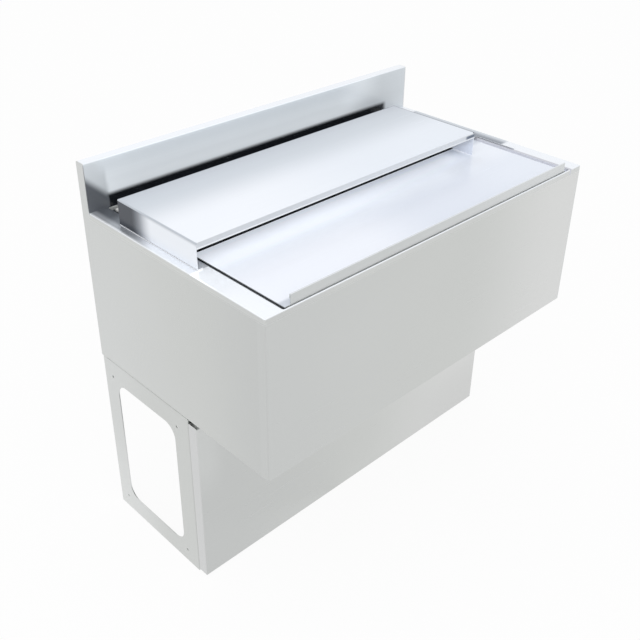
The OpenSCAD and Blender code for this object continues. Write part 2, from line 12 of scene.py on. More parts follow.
import bpy
from mathutils import Matrix, Vector

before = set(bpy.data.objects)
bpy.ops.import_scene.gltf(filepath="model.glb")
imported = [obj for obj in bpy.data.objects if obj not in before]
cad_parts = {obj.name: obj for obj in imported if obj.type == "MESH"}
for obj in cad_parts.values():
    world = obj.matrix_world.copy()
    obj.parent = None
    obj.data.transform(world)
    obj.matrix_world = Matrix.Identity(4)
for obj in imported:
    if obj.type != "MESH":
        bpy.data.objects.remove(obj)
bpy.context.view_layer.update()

LOG = logging.getLogger("ice_bin")
Triple = tuple[float, float, float]
Colour = Triple
Tone = Union[Colour, bpy.types.NodeSocket]
Number = Union[int, float, "Wire"]
BLACK = (0.0, 0.0, 0.0)
WHITE = (1.0, 1.0, 1.0)
SLANT_RISE = 0.94


class Grain(Enum):
    """Direction that the sheet was sanded in, as the scale of its streaks along X, Y and Z."""

    ACROSS = (5.0, 900.0, 900.0)
    DEEP = (900.0, 5.0, 900.0)
    TALL = (900.0, 900.0, 5.0)
    TURNED = (300.0, 300.0, 300.0)


class Along(Enum):
    """What a soft edge is measured along.

    X, Y and Z are places in metres, UP is how far a face is turned up, and SLANT is the height plus
    SLANT_RISE times the place along X.
    """

    X = 0
    Y = 1
    Z = 2
    UP = 3
    SLANT = 4


class Blend(Enum):
    """Ways of joining two colours in a Mix node."""

    MIX = "MIX"
    MULTIPLY = "MULTIPLY"


class Wire:
    """A number that comes out of a shader node and is used like a number in Python."""

    def __init__(self, graph: "Graph", socket: bpy.types.NodeSocket) -> None:
        """Keeps the socket and the graph that new nodes go into.

        Args:
            graph: the graph that holds the socket's node.
            socket: an output socket.
        """
        self.graph = graph
        self.socket = socket

    def _math(self, operation: str, first: Number, second: Number) -> "Wire":
        """Adds one Math node.

        Args:
            operation: the Math node's operation.
            first: its first number.
            second: its second number.

        Returns:
            The result as a wire.
        """
        made = self.graph.node("ShaderNodeMath", {"operation": operation}, {0: first, 1: second})
        return Wire(self.graph, made.outputs[0])

    def __add__(self, other: Number) -> "Wire":
        """Sum of two numbers."""
        return self._math("ADD", self, other)

    def __radd__(self, other: Number) -> "Wire":
        """Sum with the wire on the right."""
        return self._math("ADD", other, self)

    def __sub__(self, other: Number) -> "Wire":
        """Difference of two numbers."""
        return self._math("SUBTRACT", self, other)

    def __mul__(self, other: Number) -> "Wire":
        """Product of two numbers."""
        return self._math("MULTIPLY", self, other)

    def __rmul__(self, other: Number) -> "Wire":
        """Product with the wire on the right."""
        return self._math("MULTIPLY", other, self)

    def above(self, low: float, high: float) -> "Wire":
        """Soft step on this number.

        Args:
            low: where the step starts from 0.
            high: where the step reaches 1.

        Returns:
            A wire between 0 and 1.
        """
        settings = {"interpolation_type": "SMOOTHSTEP", "clamp": True}
        values = {"Value": self, "From Min": low, "From Max": high}
        made = self.graph.node("ShaderNodeMapRange", settings, values)
        return Wire(self.graph, made.outputs["Result"])


class Graph:
    """Adds nodes to one node tree and wires them up."""

    def __init__(self, tree: bpy.types.NodeTree) -> None:
        """Starts from an empty tree.

        Args:
            tree: the node tree of a material or of the world.
        """
        self.tree = tree
        self.tree.nodes.clear()

    def node(self, kind: str, settings: dict | None = None, values: dict | None = None) -> bpy.types.Node:
        """Adds any node.

        Args:
            kind: the node's type name.
            settings: attributes that are set first.
            values: socket name or number to a wire, a socket or a plain value.

        Returns:
            The new node.
        """
        made = self.tree.nodes.new(kind)
        for name, value in (settings or {}).items():
            setattr(made, name, value)
        for name, value in (values or {}).items():
            socket = made.inputs[name]
            if isinstance(value, Wire):
                self.tree.links.new(value.socket, socket)
            elif isinstance(value, bpy.types.NodeSocket):
                self.tree.links.new(value, socket)
            elif isinstance(value, tuple) and len(value) == 3 and socket.type == "RGBA":
                socket.default_value = (*value, 1.0)
            else:
                socket.default_value = value
        return made

    def place(self) -> bpy.types.NodeSocket:
        """Position on the piece, in metres, in the shared frame."""
        return self.node("ShaderNodeTexCoord").outputs["Object"]

    def axes(self, vector: bpy.types.NodeSocket) -> tuple[Wire, Wire, Wire]:
        """Splits a vector.

        Args:
            vector: a vector socket.

        Returns:
            Its X, Y and Z as wires.
        """
        parts = self.node("ShaderNodeSeparateXYZ", values={0: vector}).outputs
        return Wire(self, parts[0]), Wire(self, parts[1]), Wire(self, parts[2])

    def noise(self, scale: Triple, detail: float = 2.0, rough: float = 0.5) -> Wire:
        """Noise on the piece.

        Args:
            scale: noise cells per metre along X, Y and Z.
            detail: number of finer layers.
            rough: weight of the finer layers.

        Returns:
            A wire around 0.5.
        """
        stretched = self.node("ShaderNodeMapping", values={0: self.place(), "Scale": scale})
        values = {"Vector": stretched.outputs[0], "Scale": 1.0, "Detail": detail, "Roughness": rough}
        return Wire(self, self.node("ShaderNodeTexNoise", values=values).outputs[0])

    def mix(
        self, amount: Number, first: Tone, second: Tone, blend: Blend = Blend.MIX, label: str = ""
    ) -> bpy.types.NodeSocket:
        """Joins two colours.

        Args:
            amount: share of the second colour.
            first: a colour or a colour socket.
            second: a colour or a colour socket.
            blend: how they are joined.
            label: words that show on the node.

        Returns:
            The colour's socket.
        """
        settings = {"data_type": "RGBA", "blend_type": blend.value, "label": label}
        made = self.node("ShaderNodeMix", settings, {0: amount, 6: first, 7: second})
        return made.outputs[2]

    def bump(self, height: Wire, depth: float, strength: float) -> bpy.types.NodeSocket:
        """Relief of a surface.

        Args:
            height: the relief, from 0 to 1.
            depth: its depth in metres.
            strength: share of the relief that shows.

        Returns:
            The bent normal's socket.
        """
        values = {"Strength": strength, "Distance": depth, "Height": height}
        return self.node("ShaderNodeBump", values=values).outputs["Normal"]


def shine(colour: Colour, factor: float) -> Colour:
    """Scales a colour.

    Args:
        colour: red, green and blue.
        factor: what each is multiplied by.

    Returns:
        The scaled colour.
    """
    return (colour[0] * factor, colour[1] * factor, colour[2] * factor)


def tint(red: int, green: int, blue: int) -> Colour:
    """Linear colour from the usual 0 to 255 values.

    Args:
        red: red from 0 to 255.
        green: green from 0 to 255.
        blue: blue from 0 to 255.

    Returns:
        The colour that Blender works with.
    """
    shares = (value / 255 for value in (red, green, blue))
    linear = [v / 12.92 if v <= 0.04045 else ((v + 0.055) / 1.055) ** 2.4 for v in shares]
    return (linear[0], linear[1], linear[2])


@dataclass(frozen=True)
class Finish:
    """What all finishes share: a name, a colour and a roughness."""

    name: str
    colour: Colour
    rough: float

    def material(self) -> bpy.types.Material:
        """Makes the material.

        Returns:
            A new material with its node tree filled in.
        """
        made = bpy.data.materials.new(self.name)
        made.use_nodes = True
        graph = Graph(made.node_tree)
        shader = self.shade(graph)
        graph.node("ShaderNodeOutputMaterial", values={"Surface": shader.outputs[0]})
        made.diffuse_color = (*self.colour, 1.0)
        return made

    def shade(self, graph: Graph) -> bpy.types.Node:
        """Builds the shader.

        Args:
            graph: the material's graph.

        Returns:
            The shader node.
        """
        raise NotImplementedError


@dataclass(frozen=True)
class Reach:
    """Where a CAD piece starts and ends along X, Y and Z, in metres."""

    left: float
    right: float
    front: float
    back: float
    foot: float
    top: float


def reach(name: str) -> Reach:
    """Measures a CAD piece at rest.

    Args:
        name: the piece's node.

    Returns:
        Its reach in the shared frame.
    """
    along_x, along_y, along_z = zip(*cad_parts[name].bound_box)
    return Reach(min(along_x), max(along_x), min(along_y), max(along_y), min(along_z), max(along_z))


@dataclass(frozen=True)
class Edge:
    """A soft edge of a patch, which shows nothing up to start and all from full on."""

    along: Along
    start: float
    full: float


@dataclass(frozen=True)
class Patch:
    """A soft-edged area of painted shade, highlight, reflection or glow on a sheet, lighter, darker or
    brighter than the rest.
    """

    covers: str
    colour: Colour
    edges: tuple[Edge, ...]


@dataclass(frozen=True)
class SandedSteel(Finish):
    """Stainless sheet with a fine sanded grain, faint clouding, soft patches of painted shade, highlight and
    reflection, and patches of painted glow.
    """

    grain: Grain = Grain.ACROSS
    metal: float = 1.0
    # patches are painted shade, highlights and reflections laid into the base colour; glows are painted
    # light laid into the emission.
    patches: tuple[Patch, ...] = ()
    glows: tuple[Patch, ...] = ()
    streak: float = 0.03
    streak_rough: float = 0.12
    cloud: float = 0.03
    cloud_rough: float = 0.05
    cloud_cells: float = 3.0
    relief: float = 0.000004
    relief_share: float = 0.4

    def shade(self, graph: Graph) -> bpy.types.Node:
        """Builds the steel.

        Args:
            graph: the material's graph.

        Returns:
            The shader node.
        """
        lines = graph.noise(self.grain.value, detail=3.0, rough=0.6)
        clouds = graph.noise((self.cloud_cells,) * 3)
        level = 1.0 + (lines - 0.5) * (2 * self.streak) + (clouds - 0.5) * (2 * self.cloud)
        grey = graph.node("ShaderNodeCombineXYZ", values={0: level, 1: level, 2: level}).outputs[0]
        # The base colour carries the painted shade, highlights and reflections of the patches, times the
        # grain.
        tone = graph.mix(1.0, self.paint(graph, self.colour, self.patches), grey, Blend.MULTIPLY)
        rough = self.rough + (lines - 0.5) * self.streak_rough + (clouds - 0.5) * self.cloud_rough
        values = {
            "Base Color": tone,
            "Metallic": self.metal,
            "Roughness": rough,
            "Normal": graph.bump(lines, self.relief, self.relief_share),
        }
        # The emission carries the painted glows, which light the sheet though it is no lamp.
        if self.glows:
            values["Emission Color"] = self.paint(graph, BLACK, self.glows)
            values["Emission Strength"] = 1.0
        return graph.node("ShaderNodeBsdfPrincipled", values=values)

    @staticmethod
    def paint(graph: Graph, ground: Colour, patches: tuple[Patch, ...]) -> Tone:
        """Lays painted shade, highlight, reflection or glow patch upon patch, each cut out by the product of
        its soft edges.

        Args:
            graph: the material's graph.
            ground: the colour under the patches.
            patches: the patches, the last one on top.

        Returns:
            The colour, or its socket where there are patches.
        """
        if not patches:
            return ground
        normal = graph.node("ShaderNodeNewGeometry").outputs["Normal"]
        across, deep, high = graph.axes(graph.place())
        measures = (across, deep, high, graph.axes(normal)[2], high + SLANT_RISE * across)
        tone: Tone = ground
        for patch in patches:
            amount: Number = 1.0
            for edge in patch.edges:
                amount = amount * measures[edge.along.value].above(edge.start, edge.full)
            tone = graph.mix(amount, tone, patch.colour, label=patch.covers)
        return tone


@dataclass(frozen=True)
class Moulded(Finish):
    """Rubber or plastic with a fine speckle."""

    speckle: float = 0.15
    cells: float = 1500.0
    wear_cells: float = 25.0
    wear_rough: float = 0.2
    relief: float = 0.00005
    relief_share: float = 0.3

    def shade(self, graph: Graph) -> bpy.types.Node:
        """Builds the plastic.

        Args:
            graph: the material's graph.

        Returns:
            The shader node.
        """
        grit = graph.noise((self.cells,) * 3)
        wear = graph.noise((self.wear_cells,) * 3, detail=3.0)
        light = shine(self.colour, 1.0 + self.speckle)
        dark = shine(self.colour, 1.0 - self.speckle)
        values = {
            "Base Color": graph.mix(0.5 * grit + 0.5 * wear, dark, light),
            "Roughness": self.rough + (wear - 0.5) * self.wear_rough,
            "Normal": graph.bump(grit, self.relief, self.relief_share),
        }
        return graph.node("ShaderNodeBsdfPrincipled", values=values)


@dataclass(frozen=True)
class TurnedBrass(Finish):
    """Machined brass with tool rings and a slight tarnish."""

    ring_cells: Triple = (4.0, 4.0, 1400.0)
    ring_rough: float = 0.15
    tarnish_cells: float = 60.0
    tarnish_tone: float = 0.6
    tarnish_rough: float = 0.2
    relief: float = 0.00003
    relief_share: float = 0.5

    def shade(self, graph: Graph) -> bpy.types.Node:
        """Builds the brass.

        Args:
            graph: the material's graph.

        Returns:
            The shader node.
        """
        rings = graph.noise(self.ring_cells)
        tarnish = graph.noise((self.tarnish_cells,) * 3, detail=4.0).above(low=0.5, high=0.8)
        values = {
            "Base Color": graph.mix(tarnish, self.colour, shine(self.colour, self.tarnish_tone)),
            "Metallic": 1.0,
            "Roughness": self.rough + (rings - 0.5) * self.ring_rough + tarnish * self.tarnish_rough,
            "Normal": graph.bump(rings, self.relief, self.relief_share),
        }
        return graph.node("ShaderNodeBsdfPrincipled", values=values)


@dataclass(frozen=True)
class RigidFoam(Finish):
    """Foamed insulation with fine cells."""

    cells: float = 600.0
    cell_rough: float = 0.1
    flow_cells: float = 12.0
    dark: float = 0.85
    light: float = 1.05
    relief: float = 0.0004
    relief_share: float = 0.8

    def shade(self, graph: Graph) -> bpy.types.Node:
        """Builds the foam.

        Args:
            graph: the material's graph.

        Returns:
            The shader node.
        """
        cells = graph.node("ShaderNodeTexVoronoi", values={"Vector": graph.place(), "Scale": self.cells})
        depth = Wire(graph, cells.outputs["Distance"])
        flow = graph.noise((self.flow_cells,) * 3, detail=3.0)
        values = {
            "Base Color": graph.mix(flow, shine(self.colour, self.dark), shine(self.colour, self.light)),
            "Roughness": self.rough + depth * self.cell_rough,
            "Normal": graph.bump(depth, self.relief, self.relief_share),
        }
        return graph.node("ShaderNodeBsdfPrincipled", values=values)


STEEL_GREY = tint(205, 207, 205)
# Painted highlight on faces that turn up.
PAINTED_TOP_LIGHT = tint(244, 248, 254)
STEEL_BLUE = tint(203, 211, 217)
# Painted shade of gaps, and of a gap's mirror image in the backsplash.
PAINTED_GAP_DARK = tint(30, 33, 38)
BRIGHT_SHEET = (0.66, 0.68, 0.70)
CHANNEL_SHEET = (0.60, 0.61, 0.63)
SATIN_METAL = 0.35
SOFT_METAL = 0.12

DECK = reach("deck_frame")
SPLASH = reach("backsplash")
LID = reach("lid_plate")
HOOD = reach("cover_hood")
SIDE_FRAME = reach("left_side_frame")

# The lid stands this far from each side of the deck's opening.
LID_GAP = 0.0085
OPENING_LEFT = LID.left - LID_GAP
OPENING_RIGHT = LID.right + LID_GAP

# The cover's own reach takes in its arm and its flange, so these say where its raised part ends.
RAISED_RIGHT = 0.325
RAISED_FRONT = -0.075
RAISED_BACK = 0.163

# Masks of faces turned up and of faces turned sideways, which get different painted shading.
UPWARD = Edge(Along.UP, 0.25, 0.85)
SIDEWAYS = Edge(Along.UP, 0.85, 0.25)
SPLASH_FACE = Edge(Along.Y, SPLASH.front + 0.0015, SPLASH.front + 0.0005)
LEFT_STRIP = Edge(Along.X, OPENING_LEFT + 0.0060, OPENING_LEFT)
# Right leg of the deck's opening, which is painted lighter and given a painted glow.
OPENING_RIGHT_LEG = (
    SIDEWAYS,
    Edge(Along.X, OPENING_RIGHT - 0.0015, OPENING_RIGHT - 0.0005),
    Edge(Along.X, OPENING_RIGHT + 0.0040, OPENING_RIGHT + 0.0025),
)
# Inner face of the cover's right wall, which is painted lighter and given a painted glow for the light it
# gets from the lid.
RIGHT_WALL_INSIDE = (
    Edge(Along.X, RAISED_RIGHT - 0.0035, RAISED_RIGHT - 0.0025),
    Edge(Along.X, RAISED_RIGHT - 0.0002, RAISED_RIGHT - 0.0010),
    Edge(Along.Y, RAISED_FRONT + 0.125, RAISED_FRONT + 0.055),
    Edge(Along.Z, HOOD.top - 0.011, HOOD.top - 0.015),
)


def side_painted_shading() -> tuple[Patch, ...]:
    """Painted shading of the left and right panels: lighter to the rear, darker to the front.

    Returns:
        The patches.
    """
    return (
        Patch("rear", tint(210, 212, 211), (Edge(Along.Y, -0.10, 0.25),)),
        Patch("front", tint(199, 201, 200), (Edge(Along.Y, -0.05, DECK.front),)),
    )


def front_painted_shading() -> tuple[Patch, ...]:
    """Painted shading of the front panel: lighter to the right, with greyer painted shade on the bend at
    both ends.

    Returns:
        The patches.
    """
    right_bend = Edge(Along.X, DECK.right - 0.0050, DECK.right - 0.0020)
    left_bend = Edge(Along.X, DECK.left + 0.0035, DECK.left + 0.0010)
    return (
        Patch("left half", tint(204, 206, 205), (Edge(Along.X, 0.05, -0.45),)),
        Patch("right half", tint(218, 219, 218), (Edge(Along.X, 0.05, 0.42),)),
        Patch("right bend", tint(206, 208, 208), (right_bend,)),
        Patch("left bend", tint(201, 203, 202), (left_bend,)),
    )


def splash_painted_shading() -> tuple[Patch, ...]:
    """Painted shading of the backsplash: a dark painted reflection along its foot, where it mirrors the gap
    behind the cover, a darker painted patch left of that, and a painted highlight on its upper edge.

    Returns:
        The patches.
    """
    gap = (
        Edge(Along.Z, DECK.top + 0.0330, DECK.top + 0.0215),
        Edge(Along.X, OPENING_LEFT - 0.002, OPENING_LEFT + 0.008),
        Edge(Along.X, OPENING_RIGHT - 0.024, OPENING_RIGHT - 0.040),
    )
    corner = (Edge(Along.SLANT, 0.415, 0.391), Edge(Along.X, OPENING_LEFT + 0.009, OPENING_LEFT + 0.005))
    return (
        Patch("face", tint(226, 232, 237), (SPLASH_FACE,)),
        Patch("right end", tint(219, 225, 230), (SPLASH_FACE, Edge(Along.X, 0.20, 0.38))),
        Patch("gap behind the cover", PAINTED_GAP_DARK, (SPLASH_FACE, *gap)),
        Patch("left of the gap", tint(106, 110, 116), (SPLASH_FACE, *corner)),
        Patch("upper edge", PAINTED_TOP_LIGHT, (UPWARD,)),
    )


def splash_painted_glow() -> tuple[Patch, ...]:
    """Painted glow on the backsplash above its dark foot, in place of light that it throws back over the
    cover.

    Returns:
        The patches.
    """
    right = Edge(Along.X, 0.38, 0.20)
    left = Edge(Along.X, OPENING_LEFT, OPENING_LEFT + 0.014)
    far_left = Edge(Along.X, OPENING_LEFT - 0.024, OPENING_LEFT + 0.006)
    low = Edge(Along.Z, DECK.top + 0.024, DECK.top + 0.034)
    middle = Edge(Along.Z, DECK.top + 0.036, DECK.top + 0.058)
    high = Edge(Along.Z, DECK.top + 0.058, DECK.top + 0.094)
    return (
        Patch("above the gap", (0.24, 0.25, 0.26), (SPLASH_FACE, low, left, right)),
        Patch("half way up", (0.17, 0.18, 0.19), (SPLASH_FACE, middle, left, right)),
        Patch("near the top", (0.07, 0.08, 0.09), (SPLASH_FACE, high, far_left, right)),
    )


def deck_painted_shading() -> tuple[Patch, ...]:
    """Painted shading of the deck: a pale painted highlight where it faces up, painted shade and reflections
    darker to the rear of the left strip and at the left end of the rear ledge, and painted tones on its legs
    and bends.

    Returns:
        The patches.
    """
    front_leg = (SIDEWAYS, Edge(Along.Y, DECK.front + 0.0080, DECK.front + 0.0020))
    left_leg = (SIDEWAYS, Edge(Along.X, DECK.left + 0.0015, DECK.left + 0.0005))
    outer_edge = Edge(Along.X, DECK.left + 0.0220, DECK.left + 0.0100)
    outer_bend = Edge(Along.X, DECK.left + 0.0065, DECK.left + 0.0030)
    opening_bend = (
        Edge(Along.X, OPENING_RIGHT - 0.0010, OPENING_RIGHT),
        Edge(Along.X, OPENING_RIGHT + 0.0085, OPENING_RIGHT + 0.0060),
    )
    rear_ledge = (
        Edge(Along.Y, DECK.back - 0.032, DECK.back - 0.022),
        Edge(Along.X, OPENING_LEFT + 0.0010, OPENING_LEFT + 0.0035),
        Edge(Along.X, -0.30, -0.37),
    )
    return (
        Patch("front leg, left", tint(199, 201, 200), (*front_leg, Edge(Along.X, -0.20, -0.45))),
        Patch("front leg, right", tint(213, 215, 214), (*front_leg, Edge(Along.X, 0.00, 0.38))),
        Patch("left leg, front", tint(199, 201, 200), (*left_leg, Edge(Along.Y, -0.05, -0.24))),
        Patch("top", PAINTED_TOP_LIGHT, (UPWARD,)),
        Patch("beside the cover", tint(150, 155, 162), (UPWARD, LEFT_STRIP, Edge(Along.Y, 0.040, 0.150))),
        Patch("rear left corner", tint(112, 117, 124), (UPWARD, LEFT_STRIP, Edge(Along.Y, 0.130, 0.190))),
        Patch("rear left edge", tint(178, 182, 188), (UPWARD, outer_edge, Edge(Along.Y, 0.100, 0.170))),
        Patch("outer bend", tint(236, 239, 243), (UPWARD, outer_bend, Edge(Along.Y, 0.040, 0.090))),
        Patch("right bend of the opening", tint(200, 202, 211), (UPWARD, *opening_bend)),
        Patch("right leg of the opening", tint(206, 208, 217), OPENING_RIGHT_LEG),
        Patch("rear ledge, left end", tint(64, 68, 76), (UPWARD, *rear_ledge)),
    )


def deck_painted_glow() -> tuple[Patch, ...]:
    """Painted glow on the deck beside the front of the cover, and down the right leg of the opening.

    Returns:
        The patches.
    """
    leg = (
        *OPENING_RIGHT_LEG,
        Edge(Along.Y, 0.0, -0.03),
        Edge(Along.Y, DECK.front + 0.006, DECK.front + 0.014),
    )
    strip = (
        UPWARD,
        LEFT_STRIP,
        Edge(Along.Y, RAISED_FRONT - 0.085, RAISED_FRONT - 0.025),
        Edge(Along.Y, RAISED_FRONT + 0.003, RAISED_FRONT - 0.001),
    )
    return (
        Patch("right leg of the opening", (0.20, 0.205, 0.23), leg),
        Patch("beside the front of the cover", (0.29, 0.30, 0.31), strip),
    )


@dataclass
class CladBody:
    """The insulated body: outer sheets, deck, well and foam."""

    side: Finish = SandedSteel("side_steel", STEEL_GREY, 0.30, patches=side_painted_shading())
    apron: Finish = SandedSteel("apron_steel", STEEL_GREY, 0.30, patches=front_painted_shading())
    splash: Finish = SandedSteel(
        "splash_steel", STEEL_BLUE, 0.20, metal=SOFT_METAL, patches=splash_painted_shading(), glows=splash_painted_glow()
    )
    deck: Finish = SandedSteel(
        "deck_steel", STEEL_GREY, 0.22, Grain.DEEP, SATIN_METAL, patches=deck_painted_shading(), glows=deck_painted_glow()
    )
    liner: Finish = SandedSteel("liner_steel", BRIGHT_SHEET, 0.25, Grain.TALL)
    seal: Finish = Moulded("seal_rubber", (0.02, 0.02, 0.02), 0.7)
    foam: Finish = RigidFoam("foam", (0.80, 0.72, 0.38), 0.9)

    def dress(self) -> None:
        """Gives each sheet its finish."""
        dress(self.side, "left_side_panel", "right_side_panel", "back_panel", "bottom_pan")
        dress(self.apron, "front_panel")
        dress(self.splash, "backsplash")
        dress(self.deck, "deck_frame")
        dress(self.liner, "well_liner", "false_bottom")
        dress(self.seal, "mouth_gasket")
        dress(self.foam, "foam_insulation")


def lid_painted_shading() -> tuple[Patch, ...]:
    """Painted shading of the lid's plate: a pale painted highlight on top, greyer painted shade under the
    cover and by the lip, and dark painted gap shade down its left leg.

    Returns:
        The patches.
    """
    left_leg = (SIDEWAYS, Edge(Along.X, LID.left + 0.0075, LID.left + 0.0015))
    close_by = Edge(Along.Y, RAISED_FRONT - 0.075, RAISED_FRONT - 0.015)
    beneath = Edge(Along.Y, RAISED_FRONT + 0.029, RAISED_FRONT + 0.049)
    by_the_lip = Edge(Along.Y, DECK.front + 0.029, DECK.front + 0.020)
    return (
        Patch("top", tint(242, 246, 255), (UPWARD,)),
        Patch("middle and right", tint(228, 234, 246), (UPWARD, Edge(Along.X, -0.16, 0.04))),
        Patch("right end", tint(233, 239, 250), (UPWARD, Edge(Along.X, 0.14, 0.34))),
        Patch("close to the cover", tint(240, 245, 254), (UPWARD, close_by)),
        Patch("under the cover", tint(205, 212, 224), (UPWARD, beneath)),
        Patch("behind the lip", tint(206, 212, 222), (UPWARD, by_the_lip)),
        Patch("left leg", PAINTED_GAP_DARK, left_leg),
    )


def lid_painted_glow() -> tuple[Patch, ...]:
    """Painted glow on the lid's plate under the front of the cover, less of it to the right, in place of
    light that the plate throws back.

    Returns:
        The patches.
    """
    before = Edge(Along.Y, RAISED_FRONT - 0.085, RAISED_FRONT - 0.015)
    beneath = Edge(Along.Y, RAISED_FRONT - 0.030, RAISED_FRONT + 0.030)
    beneath_left = Edge(Along.Y, RAISED_FRONT - 0.035, RAISED_FRONT + 0.030)
    return (
        Patch("before the cover", (0.18, 0.19, 0.20), (UPWARD, before, Edge(Along.X, 0.310, 0.180))),
        Patch("under its front", (0.36, 0.375, 0.40), (UPWARD, beneath, Edge(Along.X, 0.350, 0.265))),
        Patch("its left half", (0.45, 0.465, 0.49), (UPWARD, beneath_left, Edge(Along.X, 0.150, -0.150))),
    )


def lip_painted_shading() -> tuple[Patch, ...]:
    """Painted shading of the lid's lip: lighter to the right, with a painted highlight along its top.

    Returns:
        The patches.
    """
    return (
        Patch("right half", tint(214, 217, 218), (Edge(Along.X, -0.20, 0.38),)),
        Patch("upper edge", tint(226, 230, 234), (UPWARD,)),
    )


@dataclass
class Lid:
    """The sliding front lid and its rails."""

    plate: Finish = SandedSteel(
        "lid_steel", STEEL_GREY, 0.24, metal=SOFT_METAL, patches=lid_painted_shading(), glows=lid_painted_glow()
    )
    lip: Finish = SandedSteel(
        "lip_steel", tint(202, 205, 205), 0.25, metal=SATIN_METAL, patches=lip_painted_shading()
    )
    inside: Finish = SandedSteel("channel_steel", CHANNEL_SHEET, 0.35)
    glide: Finish = Moulded("glide_nylon", (0.80, 0.80, 0.78), 0.45, speckle=0.04)

    def dress(self) -> None:
        """Gives each piece of the lid its finish."""
        dress(self.plate, "lid_plate")
        dress(self.lip, "lid_handle")
        dress(self.inside, "lid_stiffener")
        dress(self.glide, "lid_glides", "left_lid_rail", "right_lid_rail")


def hood_painted_shading() -> tuple[Patch, ...]:
    """Painted shading of the rear cover: a pale painted highlight at the front of its top and on its left
    wall, painted shade and reflections darker to the rear, down its left wall, on its arm, its bends and its
    flange's left end, and painted light inside its right wall.

    Returns:
        The patches.
    """
    band = Edge(Along.Y, RAISED_FRONT + 0.0012, RAISED_FRONT + 0.0005)
    band_foot = Edge(Along.Z, HOOD.top - 0.0100, HOOD.top - 0.0120)
    band_line = (
        Edge(Along.Z, HOOD.top - 0.0030, HOOD.top - 0.0055),
        Edge(Along.Z, HOOD.top - 0.0120, HOOD.top - 0.0100),
        Edge(Along.X, RAISED_RIGHT - 0.033, RAISED_RIGHT - 0.023),
    )
    rear_half = Edge(Along.Y, 0.0, RAISED_BACK - 0.043)
    rear_edge = Edge(Along.Y, RAISED_BACK - 0.053, RAISED_BACK)
    rear_bend = (Edge(Along.UP, 0.05, 0.40), Edge(Along.Y, RAISED_BACK - 0.0045, RAISED_BACK - 0.0020))
    flange = (UPWARD, Edge(Along.Y, RAISED_BACK + 0.001, RAISED_BACK + 0.003), Edge(Along.X, -0.330, -0.390))
    wall = Edge(Along.X, HOOD.left + 0.0013, HOOD.left + 0.0003)
    wall_top = Edge(Along.Z, HOOD.top - 0.009, HOOD.top - 0.004)
    wall_rear = Edge(Along.Y, RAISED_BACK - 0.107, RAISED_BACK - 0.063)
    wall_rear_end = Edge(Along.Y, RAISED_BACK - 0.083, RAISED_BACK - 0.041)
    arm = Edge(Along.X, HOOD.right - 0.050, HOOD.right - 0.030)
    arm_outside = Edge(Along.X, HOOD.right - 0.024, HOOD.right)
    arm_front = Edge(Along.Y, HOOD.front + 0.040, HOOD.front + 0.030)
    left_bend = (
        Edge(Along.X, HOOD.left + 0.0033, HOOD.left + 0.0020),
        Edge(Along.Z, HOOD.top, HOOD.top - 0.0008),
        Edge(Along.Z, HOOD.top - 0.0045, HOOD.top - 0.0030),
    )
    right_bend = (
        Edge(Along.X, RAISED_RIGHT - 0.0045, RAISED_RIGHT - 0.0030),
        Edge(Along.Z, HOOD.top - 0.0035, HOOD.top - 0.0020),
    )
    return (
        Patch("left half", tint(213, 216, 219), (Edge(Along.X, 0.05, -0.30),)),
        Patch("foot of the band", tint(243, 245, 247), (band, band_foot)),
        Patch("right end of the band", tint(112, 121, 135), (band, *band_line)),
        Patch("top", tint(242, 246, 253), (UPWARD,)),
        Patch("top, right half", tint(232, 238, 247), (UPWARD, Edge(Along.X, -0.30, 0.05))),
        Patch("top, rear half", tint(205, 212, 221), (UPWARD, rear_half)),
        Patch("top, rear edge", tint(198, 204, 213), (UPWARD, rear_edge)),
        Patch("rear bend", tint(86, 91, 98), rear_bend),
        Patch("flange, left end", tint(72, 77, 84), flange),
        Patch("left wall", tint(238, 242, 248), (wall,)),
        Patch("left wall, top", tint(212, 216, 222), (wall, wall_top)),
        Patch("left wall, rear", tint(158, 163, 171), (wall, wall_rear)),
        Patch("left wall, rear end", tint(57, 62, 71), (wall, wall_rear_end)),
        Patch("arm", tint(132, 139, 150), (UPWARD, arm)),
        Patch("arm, outer half", tint(214, 220, 228), (UPWARD, arm, arm_outside)),
        Patch("arm, front end", tint(244, 248, 254), (UPWARD, arm, arm_front)),
        Patch("right wall, inside", tint(230, 235, 246), RIGHT_WALL_INSIDE),
        Patch("left bend", tint(190, 196, 204), left_bend),
        Patch("right bend", tint(92, 97, 105), right_bend),
    )


def hood_painted_glow() -> tuple[Patch, ...]:
    """Painted glow on the inner face of the cover's right wall, for the light it gets from the lid.

    Returns:
        The patches.
    """
    return (Patch("right wall, inside", (0.15, 0.157, 0.172), RIGHT_WALL_INSIDE),)


@dataclass
class Cover:
    """The raised rear cover."""

    hood: Finish = SandedSteel(
        "hood_steel",
        tint(226, 229, 232),
        0.24,
        metal=SATIN_METAL,
        patches=hood_painted_shading(),
        glows=hood_painted_glow(),
    )
    inside: Finish = SandedSteel("cover_channel_steel", CHANNEL_SHEET, 0.35)
    pad: Finish = Moulded("pad_nylon", (0.88, 0.89, 0.92), 0.45, speckle=0.03)

    def dress(self) -> None:
        """Gives each piece of the cover its finish."""
        dress(self.hood, "cover_hood")
        dress(self.inside, "cover_stiffener")
        dress(self.pad, "cover_pads")


def frame_painted_shading() -> tuple[Patch, ...]:
    """Painted shading of the side frames: lighter at the rear column and its foot.

    Returns:
        The patches.
    """
    rear = Edge(Along.Y, 0.05, 0.25)
    return (
        Patch("rear column", tint(211, 213, 212), (rear,)),
        Patch("column foot", tint(218, 220, 219), (rear, Edge(Along.Z, 0.30, SIDE_FRAME.foot))),
    )


